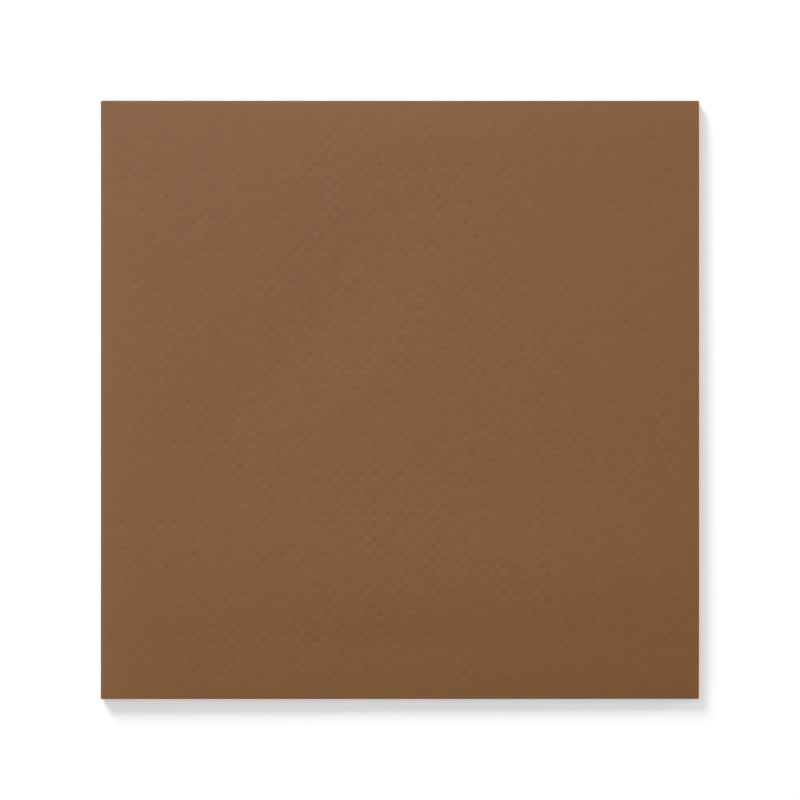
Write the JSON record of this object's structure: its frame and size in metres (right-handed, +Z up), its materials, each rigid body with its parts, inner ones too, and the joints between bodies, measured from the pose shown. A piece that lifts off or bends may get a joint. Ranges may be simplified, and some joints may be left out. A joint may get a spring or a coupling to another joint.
{
  "type": "paper napkin",
  "caption": "Square brown paper napkin of embossed two-ply tissue, folded in four and lying flat, with two folded sides, two open sides and a closed corner.",
  "frame": {"origin": "middle of the underside, on the surface that the napkin lies on", "axes": "+Z up through the folded layers, +X from the second fold to the open side opposite it, +Y from the open side to the first fold"},
  "size_m": [0.165, 0.165, 0.0037],
  "materials": {
    "brown_tissue": "soft matt embossed tissue, dyed brown"
  },
  "bodies": {
    "root": {"folded_napkin": "brown_tissue"}
  },
  "joints": []
}
